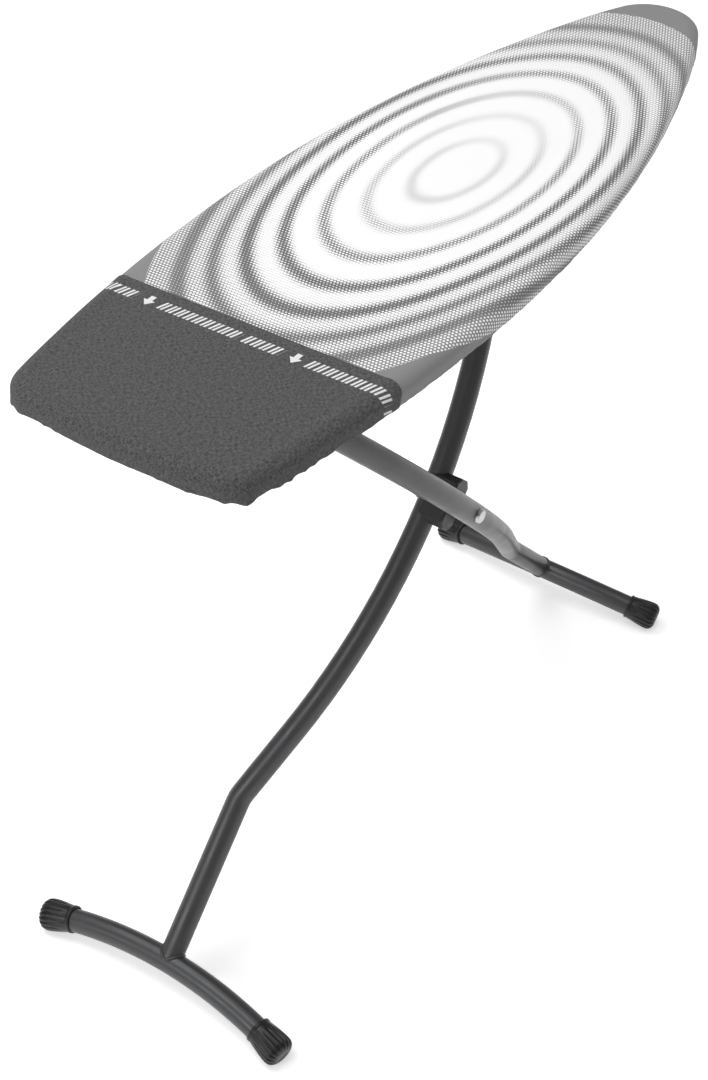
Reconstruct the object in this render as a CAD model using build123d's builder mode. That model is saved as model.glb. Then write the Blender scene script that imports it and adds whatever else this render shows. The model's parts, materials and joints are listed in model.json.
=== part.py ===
from build123d import *
from math import asin, cos, degrees, radians, sin, sqrt, tan
import os

# Folding ironing board, in millimetres.
# +X points towards the pointed nose, +Y to the far long side, +Z up.
# The origin is on the floor, under the middle of the whole object.
os.makedirs("parts", exist_ok=True)

# ---- board ----
board_length = 1350
board_top_z = 1013
board_thickness = 31
square_end_x = -665.3
hem_offset = 272            # square end to the edge of the heat-resistant zone
cover_thickness = 2.5
cover_edge_radius = 7
underlay_thickness = 6
plate_thickness = 1
rim_depth = 18.5
cover_lip = 26              # how far the cover reaches under the rim
layer_gap = 0.4             # between soft layers and steel
end_bulge = 14              # the square end is slightly rounded
end_corner_radius = 40
end_half_width = 174
board_half_width = 225.5
nose_half_width = 69.5       # where the rounded nose begins

# ---- legs ----
tube_radius = 17.5
tube_wall = 1.6
pivot_x = -111.8
pivot_z = 603
leg_slope = 46.66           # of both legs in side view, degrees
lower_arm = 804.3            # leg pivot to the foot line
upper_arm = 449             # leg pivot to the foot of the crossbar
crossbar_offset = 34        # crossbar above the tube's line
knee_radius = 60
knee_turn_a = 17
knee_turn_b = 18
foot_radius = 742           # of the arched foot bars
foot_rise = 34              # of the arch, along the leg
foot_half_span = 205
bow_a_y = -89.5             # tube centres at the outermost point of their bows
bow_b_y = -152.5
bow_a_s = 770               # where the bows peak, up the leg from the foot line
bow_b_s = 880

# ---- leg ends and bearings ----
crossbar_a_radius = 9
crossbar_b_radius = 11
glide_radius = 12
bolt_radius = 5
bush_radius = 8
running_gap = 0.05
body_gap = 0.3

# ---- under the plate ----
rail_web_y = 80
rail_start_x = 142
rail_end_x = 530
rail_thickness = 2
rod_y = 60
rod_radius = 3
lever_x = -500
hook_x = -565

nose_x = square_end_x + board_length
hem_x = square_end_x + hem_offset
slope = radians(leg_slope)
underlay_top_z = board_top_z - cover_thickness - layer_gap
plate_top_z = underlay_top_z - underlay_thickness - layer_gap
plate_bottom_z = plate_top_z - plate_thickness
board_bottom_z = board_top_z - board_thickness
foot_z = pivot_z - lower_arm * sin(slope)
crossbar_z = pivot_z + upper_arm * sin(slope) + crossbar_offset * cos(slope)
crossbar_reach = upper_arm * cos(slope) - crossbar_offset * sin(slope)
crossbar_a_x = pivot_x + crossbar_reach
crossbar_b_x = pivot_x - crossbar_reach


def save(piece, label):
    """Label a finished piece and write it."""
    piece.label = label
    export_step(piece, f"parts/{label}.step")


def side_plane(x, y, z):
    """Upright plane facing -Y, with its own x along X and its own y along Z."""
    return Plane(origin=(x, y, z), x_dir=(1, 0, 0), z_dir=(0, -1, 0))


def board_face(inset, z):
    """The board's outline as a face at height z, moved in by inset."""
    with BuildSketch() as outline:
        with BuildLine():
            hip = ThreePointArc((end_bulge, end_half_width), (250, 211), (530, board_half_width))
            waist = TangentArc(hip @ 1, (975, 174.5), tangent=hip % 1)
            taper = TangentArc(waist @ 1, (1219, 105.5), tangent=waist % 1)
            shoulder = TangentArc(taper @ 1, (1306, nose_half_width), tangent=taper % 1)
            mirror(about=Plane.XZ)
            ThreePointArc(shoulder @ 1, (board_length, 0), (1306, -nose_half_width))
            ThreePointArc(hip @ 0, (0, 0), (end_bulge, -end_half_width))
        make_face()
        fillet(outline.vertices().group_by(Axis.X)[0], radius=end_corner_radius)
        if inset:
            offset(amount=-inset, kind=Kind.ARC)
    return outline.face().moved(Location((square_end_x, 0, z)))


# ---- board: steel plate, underlay, covers ----
plate_inset = cover_thickness + layer_gap
rim_bottom_z = plate_top_z - rim_depth
up = (0, 0, 1)

plate_outside = board_face(plate_inset, rim_bottom_z)
plate_inside = board_face(plate_inset + plate_thickness, rim_bottom_z)
with BuildPart() as top_plate:
    extrude(plate_outside, amount=rim_depth, dir=up)
    extrude(plate_inside, amount=rim_depth - plate_thickness, dir=up, mode=Mode.SUBTRACT)
save(top_plate.part, "top_plate")

underlay_face = board_face(plate_inset + 2, plate_top_z + layer_gap)
with BuildPart() as underlay:
    extrude(underlay_face, amount=underlay_thickness, dir=up)
    chamfer(underlay.faces().sort_by(Axis.Z)[-1].edges(), length=3)
save(underlay.part, "underlay")

cover_outside = board_face(0, board_bottom_z)
cover_inside = board_face(cover_thickness, board_bottom_z + cover_thickness)
cover_mouth = board_face(cover_lip, board_bottom_z)
with BuildPart() as whole_cover:
    extrude(cover_outside, amount=board_thickness, dir=up)
    fillet(whole_cover.faces().sort_by(Axis.Z)[-1].edges(), radius=cover_edge_radius)
    extrude(cover_inside, amount=board_thickness - 2 * cover_thickness, dir=up, mode=Mode.SUBTRACT)
    extrude(cover_mouth, amount=cover_thickness, dir=up, mode=Mode.SUBTRACT)

with BuildPart() as cover:
    add(whole_cover.part)
    split(bisect_by=Plane.YZ.offset(hem_x), keep=Keep.TOP)
save(cover.part, "cover")

with BuildPart() as heat_zone_cover:
    add(whole_cover.part)
    split(bisect_by=Plane.YZ.offset(hem_x), keep=Keep.BOTTOM)
save(heat_zone_cover.part, "heat_zone_cover")

# ---- rails with rack notches ----
channel_half_height = glide_radius + 1
lower_flange_z = crossbar_z - channel_half_height - rail_thickness
notch_pitch = 38
notch_count = 8
notch_radius = 7
for side, sign in (("left", 1), ("right", -1)):
    with BuildPart() as rail:
        rail_length = rail_end_x - rail_start_x
        rail_mid_x = (rail_start_x + rail_end_x) / 2
        web_height = plate_bottom_z - lower_flange_z
        with Locations((rail_mid_x, sign * (rail_web_y + rail_thickness / 2), lower_flange_z)):
            Box(rail_length, rail_thickness, web_height, align=(Align.CENTER, Align.CENTER, Align.MIN))
        with Locations((rail_mid_x, sign * (rail_web_y - 9), lower_flange_z)):
            Box(rail_length, 18, rail_thickness, align=(Align.CENTER, Align.CENTER, Align.MIN))
        with Locations((rail_mid_x, sign * (rail_web_y - 9), crossbar_z + channel_half_height)):
            Box(rail_length, 18, rail_thickness, align=(Align.CENTER, Align.CENTER, Align.MIN))
        foot_flange_y = sign * (rail_web_y + rail_thickness + 9)
        with Locations((rail_mid_x, foot_flange_y, plate_bottom_z - rail_thickness)):
            Box(rail_length, 18, rail_thickness, align=(Align.CENTER, Align.CENTER, Align.MIN))
        notch_plane = Plane(
            origin=(crossbar_a_x, sign * (rail_web_y - 9), lower_flange_z + rail_thickness),
            x_dir=(1, 0, 0),
            z_dir=(0, 1, 0),
        )
        with BuildSketch(notch_plane):
            with Locations(*[(notch_pitch * i, 0) for i in range(notch_count)]):
                Circle(notch_radius)
        extrude(amount=9.5, both=True, mode=Mode.SUBTRACT)
    save(rail.part, f"rail_{side}")

rivet_xs = (170, 280, 390, 500)
with BuildPart() as rail_rivets:
    for sign in (1, -1):
        rivet_places = [(x, sign * (rail_web_y + 12), plate_bottom_z - rail_thickness) for x in rivet_xs]
        with Locations(*rivet_places):
            Cylinder(3.2, 1.8, align=(Align.CENTER, Align.CENTER, Align.MAX))
    fillet(rail_rivets.edges().group_by(Axis.Z)[0], radius=1.2)
save(rail_rivets.part, "rail_rivets")

for side, sign in (("left", 1), ("right", -1)):
    with BuildPart() as bumper:
        with Locations((rail_end_x - 8, sign * (rail_web_y - 9.5), lower_flange_z + rail_thickness)):
            Box(12, 17, 2 * channel_half_height, align=(Align.CENTER, Align.CENTER, Align.MIN))
        fillet(bumper.faces().sort_by(Axis.X)[0].edges().filter_by(Axis.Y), radius=3)
    save(bumper.part, f"rail_bumper_{side}")


def brace(center_x, half_width):
    """Pressed cross brace: a shallow hat section hung under the plate."""
    depth = 9
    with BuildPart() as hat:
        with BuildSketch(Plane.XZ.offset(-half_width)):
            with BuildLine():
                Polyline(
                    (center_x - 32, plate_bottom_z),
                    (center_x - 16, plate_bottom_z),
                    (center_x - 11, plate_bottom_z - depth),
                    (center_x + 11, plate_bottom_z - depth),
                    (center_x + 16, plate_bottom_z),
                    (center_x + 32, plate_bottom_z),
                    (center_x + 32, plate_bottom_z - 1.5),
                    (center_x + 17, plate_bottom_z - 1.5),
                    (center_x + 12, plate_bottom_z - depth - 1.5),
                    (center_x - 12, plate_bottom_z - depth - 1.5),
                    (center_x - 17, plate_bottom_z - 1.5),
                    (center_x - 32, plate_bottom_z - 1.5),
                    close=True,
                )
            make_face()
        extrude(amount=2 * half_width)
    return hat.part


save(brace(crossbar_b_x, 195), "brace_rear")
save(brace(-110, 200), "brace_middle")
save(brace(580, 70), "brace_front")

# ---- saddles that hold the crossbar of leg B ----
saddle_y = 150
saddle_half = 12
brace_bottom_z = plate_bottom_z - 9 - 1.5
for side, sign in (("left", 1), ("right", -1)):
    saddle_plane = side_plane(crossbar_b_x, sign * saddle_y, crossbar_z)
    with BuildPart() as saddle:
        with BuildSketch(saddle_plane):
            Circle(19)
            with Locations((0, (brace_bottom_z - crossbar_z) / 2)):
                Rectangle(38, brace_bottom_z - crossbar_z)
            with Locations((0, brace_bottom_z - crossbar_z - 3)):
                Rectangle(70, 6)
        extrude(amount=saddle_half, both=True)
        fillet(saddle.edges().filter_by(Axis.Y).group_by(Axis.X)[0], radius=2)
        with BuildSketch(saddle_plane):
            Circle(crossbar_b_radius + running_gap)
        extrude(amount=saddle_half + 1, both=True, mode=Mode.SUBTRACT)
    save(saddle.part, f"pivot_saddle_{side}")

with BuildPart() as saddle_screws:
    for sign in (1, -1):
        for step in (-28, 28):
            with Locations((crossbar_b_x + step, sign * saddle_y, brace_bottom_z - 6)):
                Cylinder(4.5, 3, align=(Align.CENTER, Align.CENTER, Align.MAX))
    chamfer(saddle_screws.edges().group_by(Axis.Z)[0], length=0.8)
save(saddle_screws.part, "saddle_screws")


# ---- legs ----
def leg_plane(sign):
    """Leg plane: x runs up the leg from the foot line, y sideways, z towards the folded board."""
    return Plane(
        origin=(pivot_x - sign * lower_arm * cos(slope), 0, foot_z),
        x_dir=(sign * cos(slope), 0, sin(slope)),
        z_dir=(-sign * sin(slope), 0, cos(slope)),
    )


def leg_path(knee_turn, knee_s, bow_s, bow_y):
    """Straight run and bow radius that follow from where the knee is and where the bow peaks."""
    turn = radians(knee_turn)
    reach = bow_s - knee_s - knee_radius * sin(turn)
    drop = bow_y - knee_radius * (1 - cos(turn))
    bow_radius = (reach * tan(turn) - drop) / (sin(turn) * tan(turn) - (1 - cos(turn)))
    run = (reach - bow_radius * sin(turn)) / cos(turn)
    top_turn = degrees(asin((lower_arm + upper_arm - bow_s) / bow_radius))
    return run, bow_radius, top_turn


def tube_line(direction, knee_turn, knee_s, bow_s, bow_y):
    """Centre line of a leg tube in the leg plane: shank, knee, straight run and one long bow."""
    run, bow_radius, top_turn = leg_path(knee_turn, knee_s, bow_s, bow_y)
    shank = Line((foot_rise, 0), (knee_s, 0))
    knee = JernArc(shank @ 1, shank % 1, knee_radius, direction * knee_turn)
    straight = Line(knee @ 1, knee @ 1 + (knee % 1) * run)
    bow = JernArc(straight @ 1, straight % 1, bow_radius, -direction * (knee_turn + top_turn))
    return shank, bow


def tube_y(knee_turn, knee_s, bow_s, bow_y, s):
    """Sideways place of a tube's centre on its bow, s up the leg."""
    bow_radius = leg_path(knee_turn, knee_s, bow_s, abs(bow_y))[1]
    return bow_y + bow_radius - sqrt(bow_radius ** 2 - (s - bow_s) ** 2)


def foot_line():
    """Arched centre line of a foot bar in the leg plane."""
    end_s = foot_rise - foot_radius + sqrt(foot_radius ** 2 - foot_half_span ** 2)
    return ThreePointArc((end_s, -foot_half_span), (foot_rise, 0), (end_s, foot_half_span))


knee_a_s = 286
knee_b_s = 206
cap_back = 38
cap_front = 17
cap_radius = 23
cap_grooves = 18
tube_cores = {}
legs = (
    ("a", 1, knee_turn_a, knee_a_s, bow_a_s, bow_a_y),
    ("b", -1, knee_turn_b, knee_b_s, bow_b_s, bow_b_y),
)
pivot_a_y = tube_y(knee_turn_a, knee_a_s, bow_a_s, bow_a_y, lower_arm)
pivot_b_y = tube_y(knee_turn_b, knee_b_s, bow_b_s, bow_b_y, lower_arm)

for name, sign, knee_turn, knee_s, bow_s, bow_y in legs:
    plane = leg_plane(sign)
    # In leg B's plane the sideways axis runs the other way.
    direction = -sign

    with BuildPart() as foot_core:
        with BuildLine(plane) as foot_wire:
            arch = foot_line()
        with BuildSketch(Plane(origin=arch @ 0, z_dir=arch % 0)):
            Circle(tube_radius)
        sweep()

    with BuildPart() as foot_bar:
        add(foot_core.part)
        with BuildSketch(Plane(origin=arch @ 0, z_dir=arch % 0)):
            Circle(tube_radius - tube_wall)
        sweep(path=foot_wire.line, mode=Mode.SUBTRACT)
    save(foot_bar.part, f"leg_{name}_foot_bar")

    with BuildPart() as tube_core:
        with BuildLine(plane) as tube_wire:
            shank, bow = tube_line(direction, knee_turn, knee_s, bow_s, abs(bow_y))
        with BuildSketch(Plane(origin=shank @ 0, z_dir=shank % 0)):
            Circle(tube_radius)
        sweep()
    tube_cores[name] = tube_core.part
    top_point = bow @ 1
    top_direction = bow % 1

    with BuildPart() as tube:
        add(tube_core.part)
        with BuildSketch(Plane(origin=shank @ 0, z_dir=shank % 0)):
            Circle(tube_radius - tube_wall)
        sweep(path=tube_wire.line, mode=Mode.SUBTRACT)
        add(foot_core.part, mode=Mode.SUBTRACT)
        with BuildSketch(Plane(origin=(pivot_x, bow_y, pivot_z), x_dir=(1, 0, 0), z_dir=(0, 1, 0))):
            Circle(bush_radius if name == "a" else bolt_radius)
        extrude(amount=tube_radius + 4, both=True, mode=Mode.SUBTRACT)
    save(tube.part, f"leg_{name}_tube")

    # Ribbed end caps of the foot bar, with a worn flat where they stand on the floor.
    for side, end in (("left", 1), ("right", -1)):
        position = 1 if end * sign > 0 else 0
        outward = (arch % position) * (1 if position == 1 else -1)
        cap_plane = Plane(origin=arch @ position, x_dir=(1, 0, 0), z_dir=outward)
        with BuildPart() as cap:
            cap_profile = Plane(origin=cap_plane.origin, x_dir=cap_plane.x_dir, z_dir=cap_plane.y_dir * -1)
            with BuildSketch(cap_profile):
                with BuildLine():
                    Polyline((0, -cap_back), (19.8, -cap_back), (19.8, -cap_back + 6), (21, -cap_back + 8))
                    Line((21, -cap_back + 8), (cap_radius, 6))
                    Line((cap_radius, 6), (cap_radius, 9))
                    ThreePointArc((cap_radius, 9), (20.7, 14.7), (15, cap_front))
                    Line((15, cap_front), (0, cap_front))
                    Line((0, cap_front), (0, -cap_back))
                make_face()
            revolve(axis=Axis(cap_plane.origin, cap_plane.z_dir))
            with BuildSketch(cap_plane.offset(-cap_back + 9)):
                with PolarLocations(cap_radius + 0.6, cap_grooves):
                    Circle(1.5)
            extrude(amount=cap_back + cap_front, mode=Mode.SUBTRACT)
            add(foot_core.part, mode=Mode.SUBTRACT)
            split(bisect_by=Plane.XY, keep=Keep.TOP)
        save(cap.part, f"leg_{name}_cap_{side}")

    # Moulded knuckle: a socket on the tube's end and a hub on the crossbar.
    bar_x = crossbar_a_x if name == "a" else crossbar_b_x
    bar_radius = crossbar_a_radius if name == "a" else crossbar_b_radius
    hub_y = top_point.Y
    with BuildPart() as knuckle:
        with BuildSketch(Plane(origin=top_point + top_direction * 8, z_dir=top_direction * -1)):
            Circle(tube_radius + 4.5)
        extrude(amount=62)
        with BuildSketch(Plane(origin=(bar_x, hub_y, crossbar_z), x_dir=(1, 0, 0), z_dir=(0, 1, 0))):
            Circle(bar_radius + 9)
        extrude(amount=23, both=True)
        add(tube_core.part, mode=Mode.SUBTRACT)
        with BuildSketch(Plane(origin=(bar_x, hub_y, crossbar_z), x_dir=(1, 0, 0), z_dir=(0, 1, 0))):
            Circle(bar_radius)
        extrude(amount=90, both=True, mode=Mode.SUBTRACT)
    save(knuckle.part, f"leg_{name}_knuckle")

with BuildPart() as leg_a_crossbar:
    with BuildSketch(Plane(origin=(crossbar_a_x, 0, crossbar_z), x_dir=(1, 0, 0), z_dir=(0, 1, 0))):
        Circle(crossbar_a_radius)
        Circle(crossbar_a_radius - 2, mode=Mode.SUBTRACT)
    extrude(amount=rail_web_y - 2.5, both=True)
save(leg_a_crossbar.part, "leg_a_crossbar")

for side, sign in (("left", 1), ("right", -1)):
    with BuildPart() as glide:
        glide_plane = Plane(
            origin=(crossbar_a_x, sign * (rail_web_y - 10), crossbar_z), x_dir=(1, 0, 0), z_dir=(0, 1, 0)
        )
        with BuildSketch(glide_plane):
            Circle(glide_radius)
            Circle(crossbar_a_radius, mode=Mode.SUBTRACT)
        extrude(amount=7.5, both=True)
        chamfer(glide.edges().filter_by(GeomType.CIRCLE).group_by(SortBy.LENGTH)[-1], length=0.8)
    save(glide.part, f"leg_a_glide_{side}")

crossbar_b_half = saddle_y + saddle_half + 3
with BuildPart() as leg_b_crossbar:
    with BuildSketch(Plane(origin=(crossbar_b_x, 0, crossbar_z), x_dir=(1, 0, 0), z_dir=(0, 1, 0))):
        Circle(crossbar_b_radius)
        Circle(crossbar_b_radius - 2, mode=Mode.SUBTRACT)
    extrude(amount=crossbar_b_half, both=True)
save(leg_b_crossbar.part, "leg_b_crossbar")

for side, sign in (("left", 1), ("right", -1)):
    with BuildPart() as plug:
        plug_plane = Plane(
            origin=(crossbar_b_x, sign * crossbar_b_half, crossbar_z), x_dir=(1, 0, 0), z_dir=(0, sign, 0)
        )
        with BuildSketch(plug_plane):
            Circle(crossbar_b_radius + 4)
        extrude(amount=5)
        chamfer(plug.faces().sort_by(Axis.Y)[-1 if sign > 0 else 0].edges(), length=1.5)
        with BuildSketch(plug_plane):
            Circle(crossbar_b_radius - 2)
        extrude(amount=-14)
    save(plug.part, f"leg_b_plug_{side}")

# ---- pivot where the legs cross ----
bolt_axis = Plane(origin=(pivot_x, 0, pivot_z), x_dir=(1, 0, 0), z_dir=(0, -1, 0))
bush_back_y = pivot_a_y + tube_radius + 1.5
bush_front_y = pivot_b_y + tube_radius + 1
block_face_y = pivot_b_y + tube_radius + 4.5
block_length = 76
block_width = 40

with BuildPart() as leg_a_bush:
    with BuildSketch(bolt_axis.offset(-bush_back_y)):
        Circle(bush_radius)
        Circle(bolt_radius + running_gap, mode=Mode.SUBTRACT)
    extrude(amount=bush_back_y - bush_front_y)
save(leg_a_bush.part, "leg_a_bush")

block_plane = Plane(
    origin=(pivot_x, block_face_y, pivot_z),
    x_dir=(cos(slope), 0, sin(slope)),
    z_dir=(0, 1, 0),
)
with BuildPart() as pivot_block:
    with BuildSketch(block_plane):
        with BuildLine():
            Polyline(
                (-block_length / 2, -9),
                (-block_length / 2 + 9, -block_width / 2),
                (block_length / 2 - 9, -block_width / 2),
                (block_length / 2, -9),
                (block_length / 2, 9),
                (block_length / 2 - 9, block_width / 2),
                (-block_length / 2 + 9, block_width / 2),
                (-block_length / 2, 9),
                close=True,
            )
        make_face()
    extrude(amount=pivot_a_y - block_face_y)
    chamfer(pivot_block.faces().sort_by(Axis.Y)[0].edges(), length=1.5)
    add(tube_cores["a"], mode=Mode.SUBTRACT)
    with BuildSketch(block_plane):
        Circle(bush_radius)
    extrude(amount=60, mode=Mode.SUBTRACT)
save(pivot_block.part, "pivot_block")

bolt_front_y = pivot_b_y - tube_radius - 1
washer_front_y = bush_back_y + body_gap
nut_height = 7
with BuildPart() as pivot_bolt:
    with BuildSketch(bolt_axis.offset(-(washer_front_y + 2 + nut_height + 2))):
        Circle(bolt_radius)
    extrude(amount=washer_front_y + 2 + nut_height + 2 - bolt_front_y)
    with BuildSketch(bolt_axis.offset(-bolt_front_y)):
        Circle(8)
    extrude(amount=2)
save(pivot_bolt.part, "pivot_bolt")

with BuildPart() as pivot_washer:
    with BuildSketch(bolt_axis.offset(-(washer_front_y + 2))):
        Circle(11)
        Circle(bolt_radius, mode=Mode.SUBTRACT)
    extrude(amount=2)
save(pivot_washer.part, "pivot_washer")

with BuildPart() as pivot_nut:
    with BuildSketch(bolt_axis.offset(-(washer_front_y + 2 + nut_height))):
        RegularPolygon(radius=9.8, side_count=6)
        Circle(bolt_radius, mode=Mode.SUBTRACT)
    extrude(amount=nut_height)
save(pivot_nut.part, "pivot_nut")

# Plain badge that caps the bolt's head on the front of leg B.
with BuildPart() as leg_b_badge:
    with BuildSketch(bolt_axis.offset(-(bolt_front_y + 1))):
        Circle(10)
    extrude(amount=5.2)
    fillet(leg_b_badge.faces().sort_by(Axis.Y)[0].edges(), radius=1.6)
    with BuildSketch(bolt_axis.offset(-bolt_front_y)):
        Circle(8)
    extrude(amount=2, mode=Mode.SUBTRACT)
    with BuildSketch(bolt_axis.offset(-(bolt_front_y + 2))):
        Circle(bolt_radius)
    extrude(amount=2, mode=Mode.SUBTRACT)
    add(tube_cores["b"], mode=Mode.SUBTRACT)
save(leg_b_badge.part, "leg_b_badge")

# ---- height lever, release rod and frame ----
rod_z = 985
lever_z = 967
lever_radius = rod_z - lever_z
lever_pin_radius = 3
cheek_gap = 12              # between the bracket's cheeks

with BuildPart() as lever_bracket:
    with Locations((lever_x, rod_y, plate_bottom_z)):
        Box(46, 30, 2, align=(Align.CENTER, Align.CENTER, Align.MAX))
    for sign in (1, -1):
        cheek = side_plane(lever_x, rod_y + sign * (cheek_gap / 2 + 1), lever_z)
        with BuildSketch(cheek):
            Circle(8)
            with Locations((0, (plate_bottom_z - 2 - lever_z) / 2)):
                Rectangle(16, plate_bottom_z - 2 - lever_z)
        extrude(amount=1, both=True)
    with BuildSketch(side_plane(lever_x, rod_y, lever_z)):
        Circle(lever_pin_radius)
    extrude(amount=20, both=True, mode=Mode.SUBTRACT)
save(lever_bracket.part, "lever_bracket")

with BuildPart() as lever_pin:
    with BuildSketch(side_plane(lever_x, rod_y, lever_z)):
        Circle(lever_pin_radius)
    extrude(amount=cheek_gap / 2 + 4, both=True)
save(lever_pin.part, "lever_pin")

grip_start_x = lever_x - 30
grip_end_x = lever_x - 108
lever_mid = side_plane(lever_x, rod_y, lever_z)
with BuildPart() as height_lever:
    with BuildSketch(lever_mid):
        Circle(8)
        with Locations((0, 12)):
            Rectangle(12, 24)
        with Locations((-44, -3)):
            Rectangle(88, 10)
    extrude(amount=2.5, both=True)
    with BuildSketch(lever_mid):
        Circle(lever_pin_radius + running_gap)
        with Locations((0, lever_radius)):
            SlotCenterToCenter(2.4, 2 * (2 + 0.4), rotation=90)
    extrude(amount=6, both=True, mode=Mode.SUBTRACT)
save(height_lever.part, "height_lever")

with BuildPart() as lever_grip:
    with Locations(((grip_start_x + grip_end_x) / 2, rod_y, lever_z - 3)):
        Box(grip_start_x - grip_end_x, 26, 16)
    fillet(lever_grip.edges().filter_by(Axis.X), radius=6)
    fillet(lever_grip.faces().sort_by(Axis.X)[0].edges(), radius=3)
    with BuildSketch(lever_mid):
        with Locations((-44, -3)):
            Rectangle(88, 10)
    extrude(amount=2.5, both=True, mode=Mode.SUBTRACT)
save(lever_grip.part, "lever_grip")

lock_x = grip_start_x - 16
with BuildPart() as child_lock:
    with Locations((lock_x, rod_y, lever_z - 11 - body_gap)):
        Box(14, 12, 4, align=(Align.CENTER, Align.CENTER, Align.MAX))
    fillet(child_lock.edges().filter_by(Axis.Z), radius=2)
save(child_lock.part, "child_lock")

rod_end_x = rail_start_x - 6
with BuildPart() as release_rod:
    with BuildSketch(Plane(origin=(lever_x + 12, rod_y, rod_z), x_dir=(0, 1, 0), z_dir=(1, 0, 0))):
        Circle(rod_radius)
    extrude(amount=rod_end_x - lever_x - 12)
    with Locations((lever_x + 4, rod_y, rod_z)):
        Box(22, 10, 8)
    with Locations((lever_x, rod_y, rod_z)):
        Box(18, 6, 8, mode=Mode.SUBTRACT)
    with BuildSketch(side_plane(lever_x, rod_y, rod_z)):
        Circle(2)
    extrude(amount=10, both=True, mode=Mode.SUBTRACT)
save(release_rod.part, "release_rod")

with BuildPart() as rod_pin:
    with BuildSketch(side_plane(lever_x, rod_y, rod_z)):
        Circle(2)
    extrude(amount=5.6, both=True)
save(rod_pin.part, "rod_pin")

strip_y = 52
ramp_height = 9
strip_bottom_z = crossbar_z + crossbar_a_radius + 2
strip_end_x = rail_end_x - 30
with BuildPart() as release_frame:
    for sign in (1, -1):
        with BuildSketch(Plane.XZ.offset(-(sign * strip_y + 1.5))):
            with BuildLine():
                teeth = [(rail_start_x - 6, strip_bottom_z + ramp_height)]
                for i in range(notch_count):
                    tooth_x = crossbar_a_x + notch_pitch * i
                    teeth.append((tooth_x - 12, strip_bottom_z + ramp_height))
                    teeth.append((tooth_x + 12, strip_bottom_z))
                    teeth.append((tooth_x + 14, strip_bottom_z + ramp_height))
                Polyline(
                    *teeth,
                    (strip_end_x, strip_bottom_z + ramp_height),
                    (strip_end_x, rod_z + 3),
                    (rail_start_x - 6, rod_z + 3),
                    close=True,
                )
            make_face()
        extrude(amount=3)
    with Locations((rail_start_x - 1, 0, rod_z)):
        Box(10, 2 * (rod_y + 6), 6)
    with Locations((strip_end_x - 5, 0, rod_z)):
        Box(10, 2 * strip_y, 6)
save(release_frame.part, "release_frame")

with BuildPart() as rod_guides:
    for x in (lever_x + 60, 60):
        with Locations((x, rod_y, plate_bottom_z)):
            Box(14, 22, plate_bottom_z - rod_z + 8, align=(Align.CENTER, Align.CENTER, Align.MAX))
    fillet(rod_guides.edges().filter_by(Axis.X).group_by(Axis.Z)[0], radius=4)
    with BuildSketch(Plane(origin=(0, rod_y, rod_z), x_dir=(0, 1, 0), z_dir=(1, 0, 0))):
        Circle(rod_radius + running_gap)
    extrude(amount=600, both=True, mode=Mode.SUBTRACT)
save(rod_guides.part, "rod_guides")

spring_y = 30
anchor_x = -20
anchor_pin_length = 24
spring_radius = 4
spring_wire = 1
with BuildPart() as spring_anchor:
    with Locations((anchor_x, spring_y, plate_bottom_z)):
        Box(10, 12, 22, align=(Align.CENTER, Align.CENTER, Align.MAX))
    with Locations((anchor_x, spring_y, rod_z)):
        Cylinder(1.5, anchor_pin_length, rotation=(0, 90, 0), align=(Align.CENTER, Align.CENTER, Align.MIN))
save(spring_anchor.part, "spring_anchor")

spring_start_x = anchor_x + anchor_pin_length + body_gap
with BuildPart() as return_spring:
    with BuildSketch(Plane(origin=(spring_start_x, spring_y, rod_z), x_dir=(0, 1, 0), z_dir=(1, 0, 0))):
        Circle(spring_radius)
        Circle(spring_radius - spring_wire, mode=Mode.SUBTRACT)
    extrude(amount=rail_start_x - 6 - spring_start_x)
save(return_spring.part, "return_spring")

hook_z = 988
hook_wire_radius = 2.5
with BuildPart() as hook_bracket:
    for eye_y in (8, -27):
        with Locations((hook_x, eye_y, plate_bottom_z)):
            Box(20, 10, plate_bottom_z - hook_z + 7, align=(Align.CENTER, Align.CENTER, Align.MAX))
    with Locations((hook_x, 0, plate_bottom_z)):
        Box(20, 64, 2, align=(Align.CENTER, Align.CENTER, Align.MAX))
    with BuildSketch(side_plane(hook_x, 0, hook_z)):
        Circle(hook_wire_radius + running_gap)
    extrude(amount=40, both=True, mode=Mode.SUBTRACT)
save(hook_bracket.part, "hook_bracket")

# Wire hook, stowed flat under the plate; its eye is the axle through the bracket.
hook_reach = 126
hook_half = 26
with BuildPart() as transport_hook:
    with BuildLine(Plane.XY.offset(hook_z)):
        axle = Line((hook_x, -36), (hook_x, hook_half - 8))
        corner = JernArc(axle @ 1, axle % 1, 8, -90)
        shank = Line(corner @ 1, (hook_x + hook_reach, hook_half))
        bend = JernArc(shank @ 1, shank % 1, hook_half, -180)
        tip = Line(bend @ 1, bend @ 1 + Vector(-22, 0, 0))
    with BuildSketch(Plane(origin=axle @ 0, z_dir=axle % 0)):
        Circle(hook_wire_radius)
    sweep()
save(transport_hook.part, "transport_hook")
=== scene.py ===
import json
import math
import bmesh
import bpy
import numpy as np
from mathutils import Matrix, Vector, noise
from mathutils.geometry import convex_hull_2d


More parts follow.
